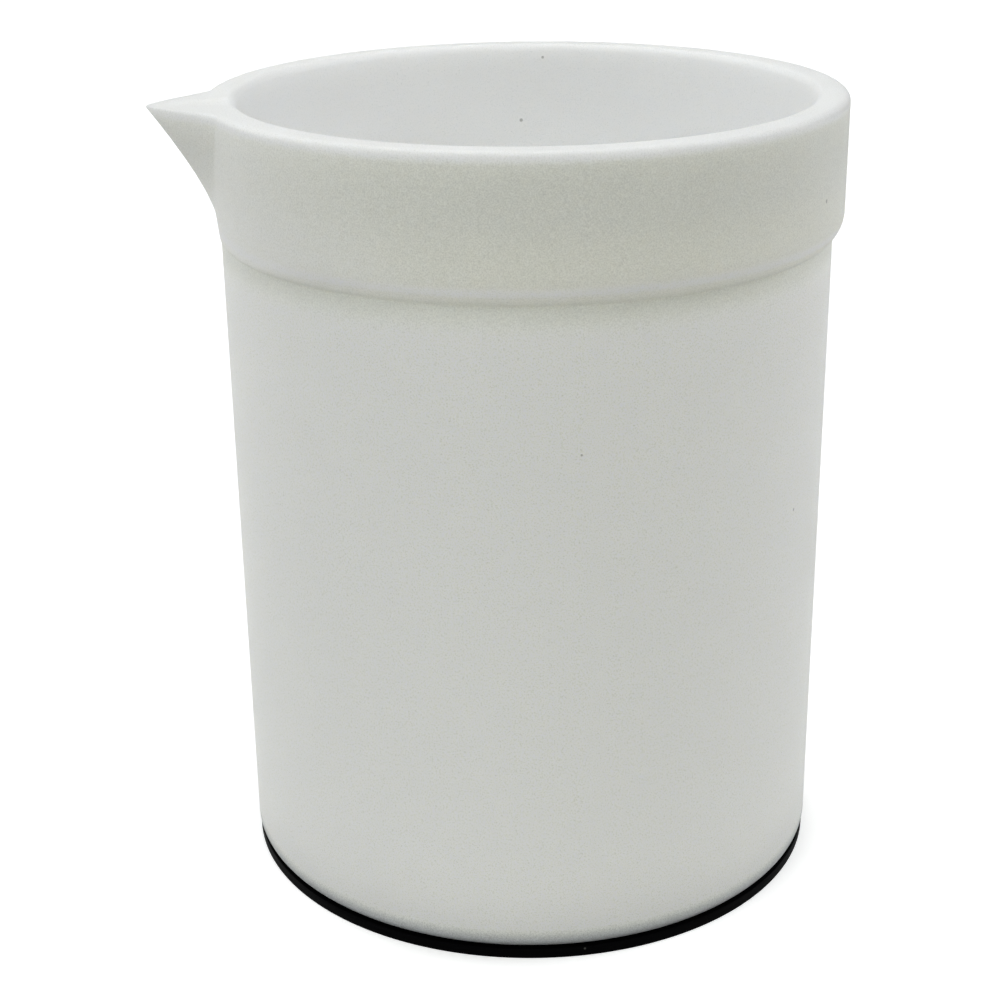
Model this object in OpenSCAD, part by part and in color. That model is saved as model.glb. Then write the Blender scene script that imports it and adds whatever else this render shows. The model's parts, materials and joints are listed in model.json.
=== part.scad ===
// PTFE laboratory beaker of the 500 mL class: a thick-walled cup with a collar
// round its mouth and a pointed pouring spout, standing on a black
// heat-conducting disc that is pressed into a recess under its floor.
// Millimetres. The origin is the middle of the face it stands on, +Z is up and
// the spout points along -X.

/* [Cup] */
// Outer diameter of the collar round the mouth
collar_d = 90; // [80:0.5:120]
// Height from the face it stands on to the rim
total_h = 114.6; // [80:0.1:180]
// Thickness of the straight wall below the collar
wall_t = 3.2; // [2.5:0.1:5]
// Thickness of the floor above the base disc
floor_t = 4.8; // [4:0.1:8]
// Radius of the fillet between the inner wall and the floor
inner_fillet = 8; // [3:0.5:14]
// Radius of the round where the outer wall meets the underside
outer_fillet = 1.7; // [0.8:0.1:3]

/* [Collar and rim] */
// How far the collar stands out from the wall below it
collar_step = 1.5; // [1.2:0.1:2.2]
// Height of the collar, from its lower corner to the rim
collar_h = 19.3; // [19:0.1:26]
// Radius of the round on the outer edge of the rim
rim_outer_round = 1.1; // [0.4:0.1:1.5]
// Radius of the round on the inner edge of the rim
rim_inner_round = 1.2; // [0.4:0.1:1.5]

/* [Spout] */
// How far the tip of the spout stands out past the collar
spout_reach = 7.7; // [5:0.1:10]
// Half of the width of the spout where it leaves the collar, at the rim
spout_half_w = 10.6; // [8:0.1:13]
// Width of the blunt tip of the spout, at the rim
spout_nose_w = 2; // [1:0.1:3]
// Depth below the rim at which the underside of the spout runs into the collar
spout_depth = 16.9; // [13:0.1:17]
// Depth of the pour channel where it leaves the bore
channel_depth = 0.5; // [0.3:0.1:1]

/* [Base disc] */
// Thickness of the part of the disc that shows below the cup
disc_t = 1.6; // [1:0.1:3]
// How far the edge of the disc is set in from the outer wall
disc_inset = 0.2; // [0.1:0.1:1]
// Diameter of the raised middle of the disc that sits in the recess
spigot_d = 68; // [40:1:72]
// Height of the raised middle of the disc
spigot_h = 2; // [1.8:0.1:2.4]

/* [Hidden] */
$fn = 180;

collar_r = collar_d / 2;
body_r = collar_r - collar_step;
bore_r = body_r - wall_t;
disc_r = body_r - disc_inset;
floor_z = disc_t + floor_t;
collar_z = total_h - collar_h;
arc_steps = 8;

// The collar's lower edge: a round that starts this far above the corner of the
// collar's outer face and its sloping underside, which is collar_slope high.
collar_round = 1.9;
collar_slope = 1.3;

// Press fit of the disc: a rib round the spigot snaps into a groove in the recess.
fit_gap = 0.05;
recess_gap = 0.2;
rib_out = 0.4;
rib_h = 1.1;
rib_z = disc_t + 1.1;
disc_chamfer = 0.12;

// Underside of the spout: a curve that leaves the tip leaning spout_lean times as
// much as the straight line to its foot, and meets the eased part of the collar.
spout_lean = 1.35;
spout_levels = 18;
spout_edge_round = 0.4;
spout_root_r = bore_r + 2;
spout_sink = 0.15;

// Below the spout the collar is eased back, more and more towards its lower
// edge, by a turning cut of a wider radius whose axis leans over.
ease_start = 6.75;
ease_depth = 1.3;
ease_wider = 4;
ease_slope = ease_depth / (collar_h - ease_start);
ease_tilt = atan(ease_slope);

// The pour channel runs out before the tip of the spout.
channel_r = 14;
channel_end = 1.7;
channel_run = collar_step + wall_t + spout_reach - channel_end;
channel_rise = atan(channel_depth / channel_run);

// Points along an arc about c, from angle a0 to angle a1.
function arc(c, r, a0, a1) =
    [for (i = [0 : arc_steps])
        let (a = a0 + (a1 - a0) * i / arc_steps)
        [c[0] + r * cos(a), c[1] + r * sin(a)]];

// One point of a curve from p0 to p2 that is drawn towards p1.
function bend(p0, p1, p2, t) =
    (1 - t) * (1 - t) * p0 + 2 * t * (1 - t) * p1 + t * t * p2;

// Radius of the eased collar under the spout at a depth below the rim.
function eased_r(depth) = collar_r - ease_slope * max(0, depth - ease_start);

// The ridge under the spout, as [distance from the axis, depth below the rim].
ridge_start = [collar_r + spout_reach, 0];
ridge_end = [eased_r(spout_depth) - spout_sink / 2, spout_depth];
ridge_run = ridge_start[0] - ridge_end[0];
ridge_back = (spout_lean - 1) * ridge_run
    / (spout_lean * ridge_run / spout_depth - ease_slope);
ridge_pull = ridge_end + ridge_back * [ease_slope, -1];
function ridge(t) = bend(ridge_start, ridge_pull, ridge_end, t);

// Half of the spout's width where it meets the collar, at a depth.
function root_half_w(depth) = spout_half_w * sqrt(1 - depth / spout_depth);

// How far the round on the spout's top edge pulls a section in at a depth.
function edge_inset(depth) =
    depth >= spout_edge_round ? 0
    : spout_edge_round
        - sqrt(pow(spout_edge_round, 2) - pow(spout_edge_round - depth, 2));

// One level section of the spout: the corners of its blunt tip, then those
// round its root.
function spout_section(t) =
    let (p = ridge(t),
        depth = p[1],
        w = root_half_w(depth),
        root = sqrt(pow(eased_r(depth), 2) - w * w) - spout_sink,
        nose = spout_nose_w / 2 * w / spout_half_w,
        flank = atan2(w - nose, p[0] - root),
        inset = edge_inset(depth),
        tip = p[0] - inset,
        nose_w = nose - inset * (1 - sin(flank)) / cos(flank),
        half_w = w - inset / cos(flank),
        z = total_h - depth)
    [[-tip, nose_w, z], [-tip, -nose_w, z],
     [-root, -half_w, z], [-spout_root_r, -half_w, z],
     [-spout_root_r, half_w, z], [-root, half_w, z]];

// Steps of t: close together over the round on the top edge, then even, and
// stopping short of the end, where the section would have no width.
round_t = [0, 0.003, 0.008, 0.016];
last_t = 0.98;
spout_t = concat(round_t, [for (i = [1 : spout_levels])
    round_t[3] + (last_t - round_t[3]) * i / spout_levels]);

// Outline of the cup on one side of its axis, before the spout is added.
cup_outline = concat(
    [[0, disc_t + spigot_h + recess_gap],
     [spigot_d / 2 + fit_gap, disc_t + spigot_h + recess_gap],
     [spigot_d / 2 + fit_gap, rib_z + rib_h / 2 + fit_gap],
     [spigot_d / 2 + rib_out + fit_gap, rib_z + fit_gap],
     [spigot_d / 2 + rib_out + fit_gap, rib_z - fit_gap],
     [spigot_d / 2 + fit_gap, rib_z - rib_h / 2 - fit_gap],
     [spigot_d / 2 + fit_gap, disc_t]],
    arc([body_r - outer_fillet, disc_t + outer_fillet], outer_fillet, -90, 0),
    [for (i = [0 : arc_steps])
        bend([body_r, collar_z],
             [collar_r, collar_z + collar_slope],
             [collar_r, collar_z + collar_slope + collar_round],
             i / arc_steps)],
    arc([collar_r - rim_outer_round, total_h - rim_outer_round], rim_outer_round, 0, 90),
    arc([bore_r + rim_inner_round, total_h - rim_inner_round], rim_inner_round, 90, 180),
    arc([bore_r - inner_fillet, floor_z + inner_fillet], inner_fillet, 0, -90),
    [[0, floor_z]]);

// Outline of the base disc, with the snap rib round its spigot.
disc_outline = [
    [0, 0],
    [disc_r - disc_chamfer, 0],
    [disc_r, disc_chamfer],
    [disc_r, disc_t],
    [spigot_d / 2, disc_t],
    [spigot_d / 2, rib_z - rib_h / 2],
    [spigot_d / 2 + rib_out, rib_z],
    [spigot_d / 2, rib_z + rib_h / 2],
    [spigot_d / 2, disc_t + spigot_h],
    [0, disc_t + spigot_h]];

// Joins the level sections, each a ring of corners, into one closed solid.
module skin(rings) {
    n = len(rings[0]);
    last = len(rings) - 1;
    polyhedron(
        points = [for (ring = rings) for (p = ring) p],
        faces = concat(
            [[for (k = [n - 1 : -1 : 0]) k]],
            [[for (k = [0 : n - 1]) last * n + k]],
            [for (i = [0 : last - 1]) for (k = [0 : n - 1])
                [i * n + k, i * n + (k + 1) % n, (i + 1) * n + (k + 1) % n]],
            [for (i = [0 : last - 1]) for (k = [0 : n - 1])
                [i * n + k, (i + 1) * n + (k + 1) % n, (i + 1) * n + k]]));
}

// What the leaning cut takes off the collar under the spout.
module collar_ease() {
    difference() {
        translate([-collar_r - 1, -collar_r, collar_z - 0.5])
            cube([collar_r / 2, 2 * collar_r, collar_h - 2]);
        translate([ease_wider, 0, total_h - ease_start])
            rotate([0, -ease_tilt, 0])
                cylinder(r = collar_r + ease_wider, h = 4 * collar_h, center = true);
    }
}

// Shallow channel across the rim and along the top of the spout.
module pour_channel() {
    translate([-bore_r, 0, total_h - channel_depth])
        rotate([0, channel_rise, 0])
            translate([-2 * channel_run, 0, channel_r])
                rotate([0, 90, 0])
                    cylinder(r = channel_r, h = 3 * channel_run);
}

module beaker_body() {
    color("whitesmoke")
        difference() {
            union() {
                difference() {
                    rotate_extrude() polygon(cup_outline);
                    collar_ease();
                }
                skin([for (t = spout_t) spout_section(t)]);
            }
            pour_channel();
        }
}

module base_disc() {
    color("black")
        rotate_extrude() polygon(disc_outline);
}

beaker_body();
base_disc();
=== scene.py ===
"""A white PTFE beaker with a black base disc, on a plain pale floor in soft studio light.

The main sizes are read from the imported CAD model, and the others repeat its values.
Both CAD pieces are replaced here by finer meshes of the same shape with softer edges.
Each is a grid of profile points turned about the Z axis, and the cup's profile changes
with the angle from its spout, which points along -X.
"""

import json
import math

import bpy
import numpy as np
from mathutils import Matrix, Vector


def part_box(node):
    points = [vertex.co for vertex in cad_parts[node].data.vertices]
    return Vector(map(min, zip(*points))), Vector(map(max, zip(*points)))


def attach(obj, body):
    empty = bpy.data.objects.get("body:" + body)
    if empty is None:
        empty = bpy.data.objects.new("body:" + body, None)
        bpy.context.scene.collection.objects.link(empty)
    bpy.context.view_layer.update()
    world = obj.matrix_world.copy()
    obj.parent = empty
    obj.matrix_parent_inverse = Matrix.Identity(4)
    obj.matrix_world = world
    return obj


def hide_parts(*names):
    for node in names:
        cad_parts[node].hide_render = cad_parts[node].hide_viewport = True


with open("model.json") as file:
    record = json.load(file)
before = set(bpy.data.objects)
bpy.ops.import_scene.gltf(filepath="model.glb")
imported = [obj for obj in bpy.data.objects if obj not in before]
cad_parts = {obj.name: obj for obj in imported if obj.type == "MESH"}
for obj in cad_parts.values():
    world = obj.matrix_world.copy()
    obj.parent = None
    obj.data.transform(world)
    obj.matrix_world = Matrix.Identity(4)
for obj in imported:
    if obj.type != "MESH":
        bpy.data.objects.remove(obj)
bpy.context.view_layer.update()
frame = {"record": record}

MM = 0.001

# ---------------------------------------------------------------- sizes
# Read from the frame
body_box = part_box("beaker_body")
mounts = {mount["name"]: mount for mount in frame["record"]["mounts"]}
RIM_Z = body_box[1][2]
BODY_R = mounts["body_wall"]["dims"]["r_mm"] * MM
BORE_R = mounts["mouth"]["dims"]["r_mm"] * MM
COLLAR_STEP = 1.5 * MM
COLLAR_R = BODY_R + COLLAR_STEP

# The cup's heights and rounds
DISC_T = 1.6 * MM
FLOOR_Z = 6.4 * MM
COLLAR_Z = RIM_Z - 19.3 * MM
COLLAR_SLOPE = 1.3 * MM
COLLAR_ROUND = 1.9 * MM
OUTER_FILLET = 1.7 * MM
INNER_FILLET = 8 * MM
RIM_OUTER_ROUND = 1.1 * MM
RIM_INNER_ROUND = 1.2 * MM

# The recess under the floor, with its groove for the disc's snap rib
RECESS_R = 34.05 * MM
RECESS_Z = 3.8 * MM
GROOVE_R = 34.45 * MM
GROOVE_Z = 2.7 * MM
GROOVE_HALF = 0.6 * MM

# The spout: two flanks that meet in a ridge, which leans in by SPOUT_LEAN of its
# depth below the tip and then bends into the eased collar. The tip's radius is
# where the flanks would meet if the ridge weren't rounded.
SPOUT_TIP_R = 53.9 * MM
SPOUT_HALF_W = 10.6 * MM
SPOUT_DEPTH = 16.9 * MM
SPOUT_LEAN = 0.785
SPOUT_SECTOR = math.radians(18)
RIDGE_SINK = 0.075 * MM
TIP_ROUND = 1.3 * MM
CREASE_ROUND = 0.25 * MM

# The flanks keep at least this slope, and no section of the spout is taken deeper
# than this share of its depth, because it has no width at its foot.
FLATTEST_FLANK = 0.16
DEEPEST_SHARE = 0.99
FLANK_SOLVER_STEPS = 30

# The leaning cut that eases the collar back under the spout
EASE_START = 6.75 * MM
EASE_SLOPE = 1.3 / 12.55
EASE_WIDER = 4 * MM
EASE_ROUND = 0.2 * MM

# The pour channel, with the angle from the spout within which it is cut, in degrees
CHANNEL_DEPTH = 0.5 * MM
CHANNEL_R = 14 * MM
CHANNEL_RUN = 10.7 * MM
CHANNEL_ROUND = 0.12 * MM
CHANNEL_TURN = 20

# The round on the rim's outer edge is TIP_EDGE_ROUND at the spout's tip. It grows to
# its full size, and reaches farther inward on the way, over these angles in degrees.
TIP_EDGE_ROUND = 0.35 * MM
EDGE_GROWS = (2, 14)
EDGE_NARROWS = (9, 15)
EDGE_WIDER = 0.28
EDGE_PULL = 0.55

# The base disc
DISC_R = BODY_R - 0.2 * MM
SPIGOT_R = 34 * MM
SPIGOT_Z = 3.6 * MM
RIB_OUT = 0.4 * MM
RIB_HALF = 0.55 * MM
DISC_EDGE_ROUND = 0.12 * MM

# An edge that turns more than this is shaded as a sharp one
SHARP_EDGE = math.radians(35)


# ---------------------------------------------------------------- curves
def arc(centre, radius, start, end, steps):
    """Points [r, z] along an arc, from angle start to angle end in degrees."""
    angles = np.radians(np.linspace(start, end, steps + 1))
    return np.stack([centre[0] + radius * np.cos(angles), centre[1] + radius * np.sin(angles)], axis=1)


def line(start, end, steps):
    """Points [r, z] along a straight line, both ends included."""
    along = np.linspace(0, 1, steps + 1)[:, None]
    return np.array(start) * (1 - along) + np.array(end) * along


def bend(start, pull, end, t):
    """Points of a curve from start to end that is drawn towards pull."""
    t = np.asarray(t)[..., None]
    return (1 - t) ** 2 * np.array(start) + 2 * t * (1 - t) * np.array(pull) + t ** 2 * np.array(end)


def smooth_max(a, b, width):
    """The larger of a and b, with the corner between them rounded over width."""
    near = np.maximum(width - np.abs(a - b), 0) / width
    return np.maximum(a, b) + near ** 2 * width / 4


def smooth_step(low, high, x):
    """0 below low, 1 above high, and a smooth rise between them."""
    t = np.clip((x - low) / (high - low), 0, 1)
    return t * t * (3 - 2 * t)


# ---------------------------------------------------------------- the cup's outer wall
def eased_r(angle, z):
    """Radius of the leaning cut that eases the collar back below the spout."""
    centre = EASE_WIDER - EASE_SLOPE * (z - (RIM_Z - EASE_START))
    radius = COLLAR_R + EASE_WIDER
    return -centre * np.cos(angle) + np.sqrt(radius ** 2 - (centre * np.sin(angle)) ** 2)


def ridge_table():
    """Depth below the rim and distance from the axis along the ridge under the spout."""
    end_r = COLLAR_R - EASE_SLOPE * (SPOUT_DEPTH - EASE_START) - RIDGE_SINK
    back = (SPOUT_LEAN * SPOUT_DEPTH - (SPOUT_TIP_R - end_r)) / (SPOUT_LEAN - EASE_SLOPE)
    pull = (end_r + back * EASE_SLOPE, SPOUT_DEPTH - back)
    points = bend((SPOUT_TIP_R, 0), pull, (end_r, SPOUT_DEPTH), np.linspace(0, 1, 200))
    return points[:, 1], points[:, 0]


RIDGE_DEPTH, RIDGE_R = ridge_table()


def beak_r(angle, z):
    """Radius of the spout's two flanks at one height, which meet in a rounded ridge."""
    depth = np.clip(RIM_Z - z, 0, DEEPEST_SHARE * SPOUT_DEPTH)
    ridge = np.interp(depth, RIDGE_DEPTH, RIDGE_R)
    half_w = SPOUT_HALF_W * np.sqrt(1 - depth / SPOUT_DEPTH)
    collar = np.minimum(eased_r(0, z), COLLAR_R)
    root = np.sqrt(collar ** 2 - half_w ** 2)
    slope = np.maximum((ridge - root) / half_w, FLATTEST_FLANK)
    r = ridge
    for _ in range(FLANK_SOLVER_STEPS):
        side = np.sqrt((r * np.sin(angle)) ** 2 + TIP_ROUND ** 2)
        r = 0.5 * r + 0.5 * (ridge - slope * side) / np.cos(angle)
    return r


def outer_r(angle, z, plain_r):
    """Radius of the cup's outside at an angle from the spout: the wall, the easing and the spout."""
    wall = -smooth_max(-plain_r, -eased_r(angle, z), EASE_ROUND)
    wall = np.where(z > COLLAR_Z + 0.01 * MM, wall, plain_r)
    if abs(angle) > SPOUT_SECTOR:
        return wall
    in_spout = z > RIM_Z - SPOUT_DEPTH
    return np.where(in_spout, smooth_max(wall, beak_r(angle, z), CREASE_ROUND), wall)


def channel_depth(x, y):
    """Depth of the pour channel below the rim, x from the axis and y to the side."""
    floor = CHANNEL_DEPTH * (1 - (x - BORE_R) / CHANNEL_RUN)
    return smooth_max(floor - y ** 2 / (2 * CHANNEL_R), 0, CHANNEL_ROUND)


# ---------------------------------------------------------------- the cup's profile at one angle
def cup_profile(angle):
    """Points [r, z] of the cup: from the recess, round the outside and the rim, to its floor."""
    recess = np.concatenate([
        line((0, RECESS_Z), (RECESS_R, RECESS_Z), 4),
        [(RECESS_R, GROOVE_Z + GROOVE_HALF), (GROOVE_R, GROOVE_Z), (RECESS_R, GROOVE_Z - GROOVE_HALF)],
        line((RECESS_R, DISC_T), (BODY_R - OUTER_FILLET, DISC_T), 3)[:-1],
        arc((BODY_R - OUTER_FILLET, DISC_T + OUTER_FILLET), OUTER_FILLET, -90, 0, 12)])
    wall = line((BODY_R, DISC_T + OUTER_FILLET), (BODY_R, COLLAR_Z), 46)[1:-1]
    under_collar = bend((BODY_R, COLLAR_Z), (COLLAR_R, COLLAR_Z + COLLAR_SLOPE),
                        (COLLAR_R, COLLAR_Z + COLLAR_SLOPE + COLLAR_ROUND), np.linspace(0, 1, 13))

    turn = abs(math.degrees(angle))
    grown = smooth_step(*EDGE_GROWS, turn)
    round_z = TIP_EDGE_ROUND + (RIM_OUTER_ROUND - TIP_EDGE_ROUND) * grown
    round_r = round_z * (1 + EDGE_WIDER * grown * (1 - smooth_step(*EDGE_NARROWS, turn)))
    collar = line((COLLAR_R, under_collar[-1][1]), (COLLAR_R, RIM_Z - round_z), 44)[1:]
    outside = np.concatenate([under_collar, collar])
    outside[:, 0] = outer_r(angle, outside[:, 1], outside[:, 0])

    corner = np.array([float(outer_r(angle, np.array(RIM_Z), COLLAR_R)), RIM_Z])
    start = outside[-1]
    end = corner - (round_r, 0)
    t = np.linspace(0, 1, 11)[1:, None]
    near_start = start + EDGE_PULL * (corner - start)
    near_end = end + EDGE_PULL * (corner - end)
    outer_round = ((1 - t) ** 3 * start + 3 * t * (1 - t) ** 2 * near_start
                   + 3 * t ** 2 * (1 - t) * near_end + t ** 3 * end)
    top = line(end, (BORE_R + RIM_INNER_ROUND, RIM_Z), 14)[1:]
    inner_round = arc((BORE_R + RIM_INNER_ROUND, RIM_Z - RIM_INNER_ROUND),
                      RIM_INNER_ROUND, 90, 180, 10)[1:]
    rim = np.concatenate([outer_round, top, inner_round])
    if turn < CHANNEL_TURN:
        sunk = channel_depth(rim[:, 0] * math.cos(angle), rim[:, 0] * math.sin(angle))
        lowest = RIM_Z - RIM_INNER_ROUND
        rim[:, 1] -= sunk * smooth_step(lowest, lowest + 0.7 * RIM_INNER_ROUND, rim[:, 1])

    inside = np.concatenate([
        line((BORE_R, RIM_Z - RIM_INNER_ROUND), (BORE_R, FLOOR_Z + INNER_FILLET), 40)[1:],
        arc((BORE_R - INNER_FILLET, FLOOR_Z + INNER_FILLET), INNER_FILLET, 0, -90, 14)[1:],
        line((BORE_R - INNER_FILLET, FLOOR_Z), (0, FLOOR_Z), 8)[1:]])
    return np.concatenate([recess, wall, outside, rim, inside])


def disc_profile(_angle):
    """Points [r, z] of the base disc, from its underside, round its edge, to its raised middle."""
    edge = DISC_EDGE_ROUND
    rib_z = GROOVE_Z
    return np.concatenate([
        line((0, SPIGOT_Z), (SPIGOT_R, SPIGOT_Z), 4),
        [(SPIGOT_R, rib_z + RIB_HALF), (SPIGOT_R + RIB_OUT, rib_z), (SPIGOT_R, rib_z - RIB_HALF)],
        line((SPIGOT_R, DISC_T), (DISC_R - edge, DISC_T), 4),
        arc((DISC_R - edge, DISC_T - edge), edge, 90, 0, 4)[1:],
        arc((DISC_R - edge, edge), edge, 0, -90, 5),
        line((DISC_R - edge, 0), (0, 0), 12)[1:]])[::-1]


# ---------------------------------------------------------------- meshes
def turned_mesh(name, profile, angles):
    """A closed mesh whose profile, from axis to axis, is turned through the angles round Z."""
    columns = np.array([profile(angle) for angle in angles])
    count, length = columns.shape[:2]
    verts = [(0, 0, columns[0, 0, 1]), (0, 0, columns[0, -1, 1])]
    inner = columns[:, 1:-1]
    for angle, column in zip(angles, inner):
        verts += [(-r * math.cos(angle), -r * math.sin(angle), z) for r, z in column]
    rows = length - 2

    def at(k, i):
        """Index of the corner in column k and row i, after the two corners on the axis."""
        return 2 + (k % count) * rows + i

    faces = []
    for k in range(count):
        faces.append((0, at(k + 1, 0), at(k, 0)))
        faces += [(at(k, i), at(k + 1, i), at(k + 1, i + 1), at(k, i + 1)) for i in range(rows - 1)]
        faces.append((1, at(k, rows - 1), at(k + 1, rows - 1)))
    mesh = bpy.data.meshes.new(name)
    mesh.from_pydata(verts, [], faces)
    mesh.update()
    mesh.shade_smooth()
    mesh.set_sharp_from_angle(angle=SHARP_EDGE)
    piece = bpy.data.objects.new(name, mesh)
    bpy.context.collection.objects.link(piece)
    return piece


def spout_angles():
    """Angles round the axis, in radians from the spout: close together at the spout, wider behind."""
    side = np.concatenate([
        np.arange(0.2, 3, 0.2),
        np.arange(3, 18, 0.4),
        np.arange(18, 48, 1.0),
        np.arange(48, 180, 1.5)])
    return np.radians(np.concatenate([-side[::-1], [0], side, [180]]))


# ---------------------------------------------------------------- materials
class Nodes:
    """A node material, with short calls for the nodes that the materials below are made of."""

    def __init__(self, name):
        self.material = bpy.data.materials.new(name)
        self.material.use_nodes = True
        self.nodes = self.material.node_tree.nodes
        self.join = self.material.node_tree.links.new
        self.shader = self.nodes["Principled BSDF"]
        self.place = self.nodes.new("ShaderNodeTexCoord").outputs["Object"]

    def plug(self, value, socket):
        """Joins an output to a socket, or sets the socket to a plain number."""
        if isinstance(value, bpy.types.NodeSocket):
            self.join(value, socket)
        else:
            socket.default_value = value

    def math(self, operation, *values):
        """The result of a sum on plain numbers or outputs."""
        node = self.nodes.new("ShaderNodeMath")
        node.operation = operation
        for value, socket in zip(values, node.inputs):
            self.plug(value, socket)
        return node.outputs[0]

    def vector(self, operation, first, second=None, scale=None):
        """The node of a vector operation, whose output the caller picks."""
        node = self.nodes.new("ShaderNodeVectorMath")
        node.operation = operation
        self.plug(first, node.inputs[0])
        if second is not None:
            self.plug(second, node.inputs[1])
        if scale is not None:
            self.plug(scale, node.inputs["Scale"])
        return node

    def noise(self, size, detail=2.0, roughness=0.5, where=None):
        """Noise about 0.5, whose features are about as large as size, in metres."""
        node = self.nodes.new("ShaderNodeTexNoise")
        node.inputs["Scale"].default_value = 1 / size
        node.inputs["Detail"].default_value = detail
        node.inputs["Roughness"].default_value = roughness
        self.join(self.place if where is None else where, node.inputs["Vector"])
        return node.outputs["Fac"]

    def between(self, value, low, high, start=0.0, end=1.0):
        """A smooth change from start to end while value goes from low to high."""
        node = self.nodes.new("ShaderNodeMapRange")
        node.interpolation_type = "SMOOTHSTEP"
        for number, name in ((value, "Value"), (low, "From Min"), (high, "From Max"),
                             (start, "To Min"), (end, "To Max")):
            self.plug(number, node.inputs[name])
        return node.outputs["Result"]

    def mix(self, share, first, second):
        """The first colour where share is 0, the second where it is 1."""
        node = self.nodes.new("ShaderNodeMix")
        node.data_type = "RGBA"
        sockets = [socket for socket in node.inputs if socket.type == "RGBA"]
        self.plug(share, node.inputs[0])
        self.plug(first, sockets[0])
        self.plug(second, sockets[1])
        return [socket for socket in node.outputs if socket.type == "RGBA"][0]

    def radius(self):
        """Distance from the beaker's axis."""
        flat = self.vector("MULTIPLY", self.place, (1, 1, 0)).outputs["Vector"]
        return self.vector("LENGTH", flat).outputs["Value"]

    def axes(self):
        """The three coordinates of a place on the beaker."""
        node = self.nodes.new("ShaderNodeSeparateXYZ")
        self.join(self.place, node.inputs[0])
        return node.outputs

    def turning(self, pitch, drift):
        """Fine lines round the axis, as a lathe leaves, which fade in and out along their length."""
        x, y, z = self.axes()
        along = self.math("MULTIPLY", self.math("ADD", self.radius(), z), drift / pitch)
        lines = self.nodes.new("ShaderNodeCombineXYZ")
        for axis, value in zip("XYZ", (x, y, along)):
            self.join(value, lines.inputs[axis])
        return self.noise(drift, 2.0, 0.6, lines.outputs[0])

    def specks(self, places, size):
        """1 on small round specks at the given places, 0 elsewhere."""
        total = 0.0
        for place, share in places:
            distance = self.vector("DISTANCE", self.place, place).outputs["Value"]
            radius = size * share
            total = self.math("MAXIMUM", self.between(distance, 0.5 * radius, radius, 1.0, 0.0), total)
        return total

    def bump(self, height, depth):
        """Raises the surface where height is 1 by depth, in metres."""
        node = self.nodes.new("ShaderNodeBump")
        node.inputs["Strength"].default_value = 1.0
        node.inputs["Distance"].default_value = depth
        self.join(height, node.inputs["Height"])
        self.join(node.outputs["Normal"], self.shader.inputs["Normal"])


def on_wall(radius, turn, z_mm):
    """A place on a wall of that radius, turned from the spout in degrees, at a height in millimetres."""
    angle = math.radians(turn)
    return (-radius * math.cos(angle), -radius * math.sin(angle), z_mm * MM)


# The most that the white reflects of each colour
LIGHTEST = 0.996

# Dark specks in the white and pale ones in the black: each a place and a share of the size
WHITE_SPECKS = [
    (on_wall(COLLAR_R, 139.5, 103.0), 1.0),
    (on_wall(BODY_R, 136.0, 59.9), 0.8),
    (on_wall(BODY_R, 87.0, 75.6), 0.6),
    (on_wall(BODY_R, -62.0, 48.0), 0.8),
    (on_wall(BODY_R, -121.0, 22.0), 0.7),
    (on_wall(COLLAR_R, -95.0, 107.0), 0.6),
    (on_wall(BORE_R, -106.0, 112.6), 0.8),
    (on_wall(BORE_R, -101.0, 102.6), 1.0),
    (on_wall(BORE_R, 40.0, 71.0), 0.8),
]
BLACK_SPECKS = [
    (on_wall(DISC_R, 88.0, 1.2), 1.0),
    (on_wall(DISC_R, -150.0, 0.9), 0.7),
    (on_wall(24 * MM, 60.0, 0.0), 0.8),
    (on_wall(11 * MM, -20.0, 0.0), 1.0),
]


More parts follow.
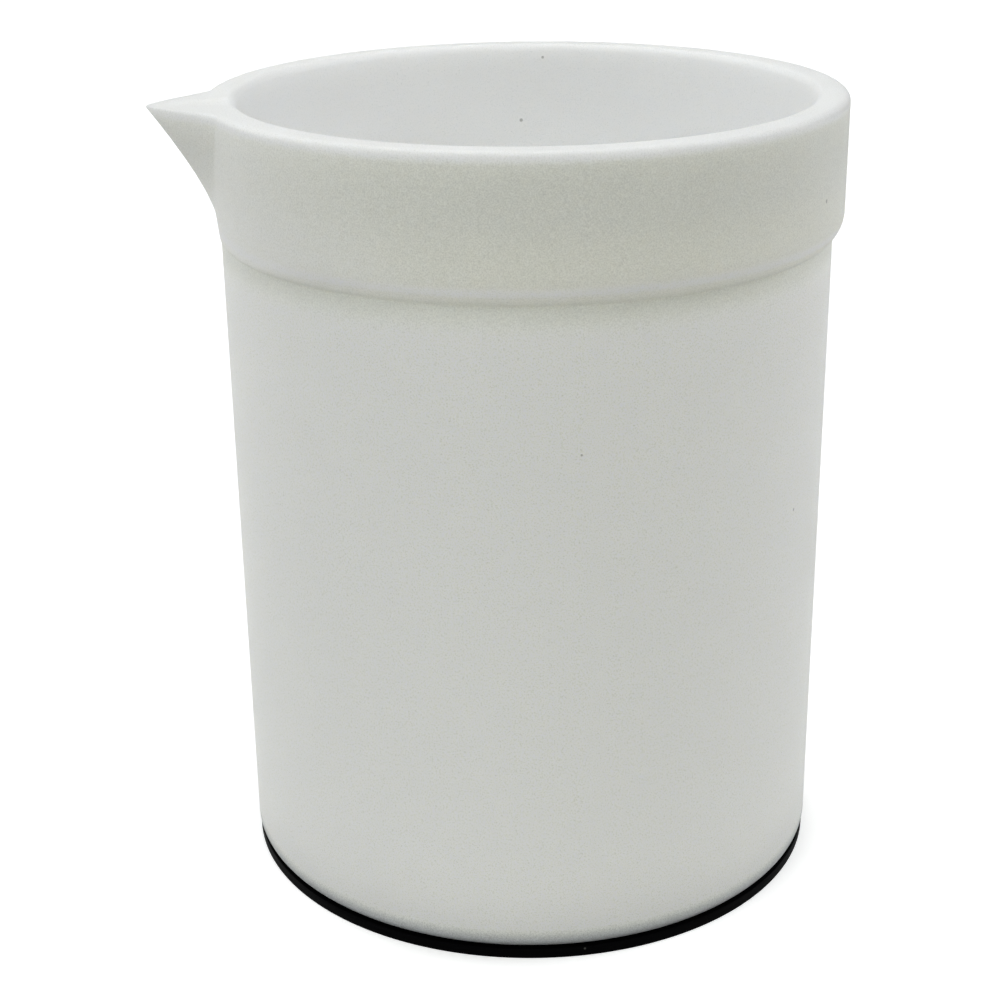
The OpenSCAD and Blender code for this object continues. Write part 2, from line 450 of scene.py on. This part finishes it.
def ptfe_white():
    """Off-white PTFE: waxy, translucent, finely grained and faintly turned.

    Each tint in the list is laid over the ones before it, where its share is above 0, and each one
    paints light or shade onto the white.
    The grain is strongest on the plain wall below the collar.
    """
    made = Nodes("white_ptfe")
    grain = made.noise(0.19 * MM, 2.0, 0.6)
    cloud = made.noise(9 * MM, 5.0, 0.65)
    lines = made.turning(0.3 * MM, 14 * MM)
    along, _, height = made.axes()

    # The collar's painted shade is weaker towards the spout.
    off_spout = made.between(along, -44 * MM, -15 * MM, 0.3, 1.0)
    # Painted shade: the collar is tinted greyer than the wall below it.
    collar_shade = made.math("MULTIPLY", off_spout, made.between(height, COLLAR_Z, COLLAR_Z + 1.5 * MM))
    # Painted shade: the collar gets darker towards its top.
    collar_top_shade = made.math("MULTIPLY", off_spout,
                        made.between(height, COLLAR_Z + 4 * MM, RIM_Z - 7 * MM))
    # Painted highlight: a paler band along the round on the collar's lower edge.
    collar_edge_highlight = made.math("MULTIPLY",
                     made.between(height, COLLAR_Z + 1.0 * MM, COLLAR_Z + 1.7 * MM, 0.0, 0.9),
                     made.between(height, COLLAR_Z + 1.9 * MM, COLLAR_Z + 2.9 * MM, 1.0, 0.0))
    # Painted shade: darker in the corner under the collar's step, fading out over 5 mm down the wall.
    under_collar_shade = made.math("MULTIPLY",
                      made.between(height, COLLAR_Z - 5 * MM, COLLAR_Z - 0.3 * MM, 0.0, 0.14),
                      made.between(height, COLLAR_Z, COLLAR_Z + 1.1 * MM, 1.0, 0.0))
    # Painted shade: a dark blue tint over the lowest few millimetres of the wall, just above the base
    # disc.
    foot = made.between(height, DISC_T + 0.9 * MM, DISC_T + 3.5 * MM, 0.52, 0.0)
    # Painted light: the rim's top and outer round are tinted lighter and cooler than the collar's shaded
    # top.
    rim_light_tint = made.between(height, RIM_Z - 1.8 * MM, RIM_Z - 0.7 * MM)
    # Painted light: the inside of the bore is tinted lighter and cooler than the outside.
    in_bore = made.between(made.radius(), BORE_R + 0.3 * MM, BORE_R + 1.1 * MM, 1.0, 0.0)
    # Painted light: the wall below the collar, outside the bore, is tinted lighter, fading out over 8 mm
    # up to the collar. The same mask makes the grain stronger there.
    plain = made.math("MULTIPLY", made.between(height, COLLAR_Z - 8 * MM, COLLAR_Z, 1.0, 0.0),
                      made.math("SUBTRACT", 1.0, in_bore))
    colour = (0.957, 0.964, 0.912, 1)
    for share, tint in (
            (plain, (0.978, 0.987, 0.920, 1)),
            (collar_shade, (0.892, 0.892, 0.822, 1)),
            (collar_top_shade, (0.840, 0.845, 0.800, 1)),
            (collar_edge_highlight, (0.972, 0.979, 0.938, 1)),
            (under_collar_shade, (0.0, 0.0, 0.0, 1)),
            (foot, (0.02, 0.05, 0.15, 1)),
            (rim_light_tint, (0.948, 0.955, 0.940, 1)),
            (in_bore, (0.984, 0.993, 0.993, 1))):
        colour = made.mix(share, colour, tint)

    # Each of the three noises is about 0.5, so its middle leaves the tone unchanged.
    contrast = made.math("MULTIPLY_ADD", plain, 0.34, 0.56)
    tone = made.math("MULTIPLY_ADD", made.math("SUBTRACT", grain, 0.5), contrast, 1.015)
    tone = made.math("MULTIPLY_ADD", cloud, 0.05, made.math("SUBTRACT", tone, 0.025))
    tone = made.math("MULTIPLY_ADD", lines, 0.03, made.math("SUBTRACT", tone, 0.015))
    toned = made.vector("SCALE", colour, scale=tone).outputs["Vector"]
    toned = made.vector("MINIMUM", toned, (LIGHTEST, LIGHTEST, LIGHTEST)).outputs["Vector"]
    specks = made.specks(WHITE_SPECKS, 0.36 * MM)
    made.join(made.mix(made.math("MULTIPLY", specks, 0.6), toned, (0.30, 0.29, 0.27, 1)),
              made.shader.inputs["Base Color"])
    made.join(made.between(cloud, 0.3, 0.7, 0.46, 0.58), made.shader.inputs["Roughness"])
    made.bump(made.math("MULTIPLY_ADD", grain, 0.7, made.math("MULTIPLY", lines, 0.3)), 0.07 * MM)
    made.shader.inputs["IOR"].default_value = 1.36
    made.shader.inputs["Subsurface Weight"].default_value = 1.0
    made.shader.inputs["Subsurface Radius"].default_value = (1.0, 0.97, 0.92)
    made.shader.inputs["Subsurface Scale"].default_value = 3 * MM
    return made.material


def ptfe_black():
    """Carbon-filled PTFE: matte black, with turning rings, fine grain and a few pale specks."""
    made = Nodes("black_ptfe")
    grain = made.noise(0.3 * MM, 2.0, 0.6)
    lines = made.turning(0.35 * MM, 10 * MM)
    dark = made.mix(grain, (0.0002, 0.0002, 0.0004, 1), (0.0014, 0.0014, 0.0018, 1))
    specks = made.specks(BLACK_SPECKS, 0.22 * MM)
    made.join(made.mix(made.math("MULTIPLY", specks, 0.7), dark, (0.12, 0.12, 0.11, 1)),
              made.shader.inputs["Base Color"])
    made.join(made.between(lines, 0.3, 0.7, 0.5, 0.64), made.shader.inputs["Roughness"])
    made.bump(made.math("MULTIPLY_ADD", grain, 0.3, made.math("MULTIPLY", lines, 0.7)), 0.04 * MM)
    made.shader.inputs["Specular IOR Level"].default_value = 0.015
    return made.material


# The inner and the outer radius of the table's light
TABLE_LIGHT_R = (45 * MM, 300 * MM)


def floor_white():
    """Pale matte paper, which glows more the farther it is from the beaker, as a lit sweep does."""
    made = Nodes("floor_white")
    made.shader.inputs["Base Color"].default_value = (0.9, 0.9, 0.9, 1)
    made.shader.inputs["Roughness"].default_value = 0.9
    made.shader.inputs["Emission Color"].default_value = (1, 1, 1, 1)
    made.join(made.between(made.radius(), 0.05, 0.9, 0.5, 1.0), made.shader.inputs["Emission Strength"])
    return made.material


def table_light():
    """Light from the table round the beaker, with none in the beaker's own shadow."""
    made = Nodes("table_light")
    made.shader.inputs["Base Color"].default_value = (0, 0, 0, 1)
    made.shader.inputs["Specular IOR Level"].default_value = 0.0
    made.shader.inputs["Emission Color"].default_value = (0.99, 1.0, 0.95, 1)
    inner, outer = TABLE_LIGHT_R
    near = made.between(made.radius(), inner, inner + 4 * MM, 0.0, 0.64)
    far = made.between(made.radius(), outer - 40 * MM, outer, 1.0, 0.0)
    made.join(made.math("MULTIPLY", near, far), made.shader.inputs["Emission Strength"])
    return made.material


# ---------------------------------------------------------------- pieces
angles = spout_angles()
cup = turned_mesh("cup", cup_profile, angles)
cup.data.materials.append(ptfe_white())
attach(cup, "root")
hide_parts("beaker_body")

disc = turned_mesh("heat_disc", disc_profile, np.radians(np.arange(-180, 180, 1.5)))
disc.data.materials.append(ptfe_black())
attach(disc, "root")
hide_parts("base_disc")

# ---------------------------------------------------------------- stage
# The floor lies just under the disc, and the light of the table just under the floor.
FLOOR_HALF = 3.0
STAGE_Z = -0.02 * MM
TABLE_LIGHT_Z = -0.05 * MM
TABLE_LIGHT_SIDES = 72


def stage_mesh(name, corners, faces, material):
    """An object of the stage, made of corners and the faces between them."""
    mesh = bpy.data.meshes.new(name)
    mesh.from_pydata(corners, [], faces)
    mesh.materials.append(material)
    piece = bpy.data.objects.new(name, mesh)
    bpy.context.collection.objects.link(piece)
    return piece


floor = stage_mesh(
    "floor",
    [(-FLOOR_HALF, -FLOOR_HALF, STAGE_Z), (FLOOR_HALF, -FLOOR_HALF, STAGE_Z),
     (FLOOR_HALF, FLOOR_HALF, STAGE_Z), (-FLOOR_HALF, FLOOR_HALF, STAGE_Z)],
    [(0, 1, 2, 3)], floor_white())
floor.visible_diffuse = False
floor.visible_shadow = False

ring_corners = []
ring_faces = []
for k in range(TABLE_LIGHT_SIDES):
    turn = 2 * math.pi * k / TABLE_LIGHT_SIDES
    ring_corners += [(r * math.cos(turn), r * math.sin(turn), TABLE_LIGHT_Z) for r in TABLE_LIGHT_R]
    after = (k + 1) % TABLE_LIGHT_SIDES
    ring_faces.append((2 * k, 2 * k + 1, 2 * after + 1, 2 * after))
ring = stage_mesh("table_light", ring_corners, ring_faces, table_light())
ring.visible_glossy = False

# ---------------------------------------------------------------- camera
# The camera stands turned from the -Y side towards the spout, and looks a little past
# the axis. Angles are in radians.
CAMERA_TURN = math.radians(12)
CAMERA_DISTANCE = 271.3 * MM
CAMERA_HEIGHT = 160.5 * MM
CAMERA_YAW = CAMERA_TURN - 0.0159
CAMERA_PITCH = 0.3789
CAMERA_ROLL = -0.0133
LENS_MM = 69.14
SENSOR_MM = 36

camera_data = bpy.data.cameras.new("camera")
camera_data.lens = LENS_MM
camera_data.sensor_width = SENSOR_MM
camera_data.clip_start = 0.01
camera = bpy.data.objects.new("camera", camera_data)
bpy.context.collection.objects.link(camera)
ahead = Vector((math.sin(CAMERA_YAW) * math.cos(CAMERA_PITCH),
                math.cos(CAMERA_YAW) * math.cos(CAMERA_PITCH),
                -math.sin(CAMERA_PITCH)))
level = ahead.cross(Vector((0, 0, 1))).normalized()
above = level.cross(ahead)
right = math.cos(CAMERA_ROLL) * level + math.sin(CAMERA_ROLL) * above
up = -math.sin(CAMERA_ROLL) * level + math.cos(CAMERA_ROLL) * above
axes = Matrix((right, up, -ahead)).transposed()
camera.matrix_world = Matrix.Translation((-CAMERA_DISTANCE * math.sin(CAMERA_TURN),
                                          -CAMERA_DISTANCE * math.cos(CAMERA_TURN),
                                          CAMERA_HEIGHT)) @ axes.to_4x4()
bpy.context.scene.camera = camera


# ---------------------------------------------------------------- light
SOFTBOX_DISTANCE = 0.8
SOFTBOX_SIZE = 0.5


def softbox(name, turn, rise, power, colour):
    """A round softbox aimed at the beaker.

    It stands turn degrees from the camera's side towards its left, and rise degrees up.
    """
    data = bpy.data.lights.new(name, "AREA")
    data.shape = "DISK"
    data.size = SOFTBOX_SIZE
    data.energy = power
    data.color = colour
    light = bpy.data.objects.new(name, data)
    bpy.context.collection.objects.link(light)

    heading = CAMERA_TURN + math.radians(turn)
    rise = math.radians(rise)
    offset = Vector((-math.sin(heading) * math.cos(rise),
                     -math.cos(heading) * math.cos(rise),
                     math.sin(rise)))
    light.location = Vector((0, 0, RIM_Z / 2)) + SOFTBOX_DISTANCE * offset
    light.rotation_euler = (-offset).to_track_quat("-Z", "Y").to_euler()


softbox("front_right", -25, 38, 1.58, (0.98, 1.0, 0.95))
softbox("front_left", 45, 38, 2.08, (0.965, 0.995, 1.0))
softbox("right", -100, 38, 2.35, (0.95, 0.97, 1.0))
softbox("back_left", 120, 38, 2.24, (0.985, 1.0, 0.99))
softbox("back", 170, 63, 1.67, (1.0, 1.0, 0.965))

world = bpy.data.worlds.new("studio")
world.use_nodes = True
world.node_tree.nodes["Background"].inputs["Color"].default_value = (1, 1, 1, 1)
world.cycles_visibility.diffuse = False
world.cycles_visibility.glossy = False
bpy.context.scene.world = world
bpy.context.scene.view_settings.view_transform = "Standard"
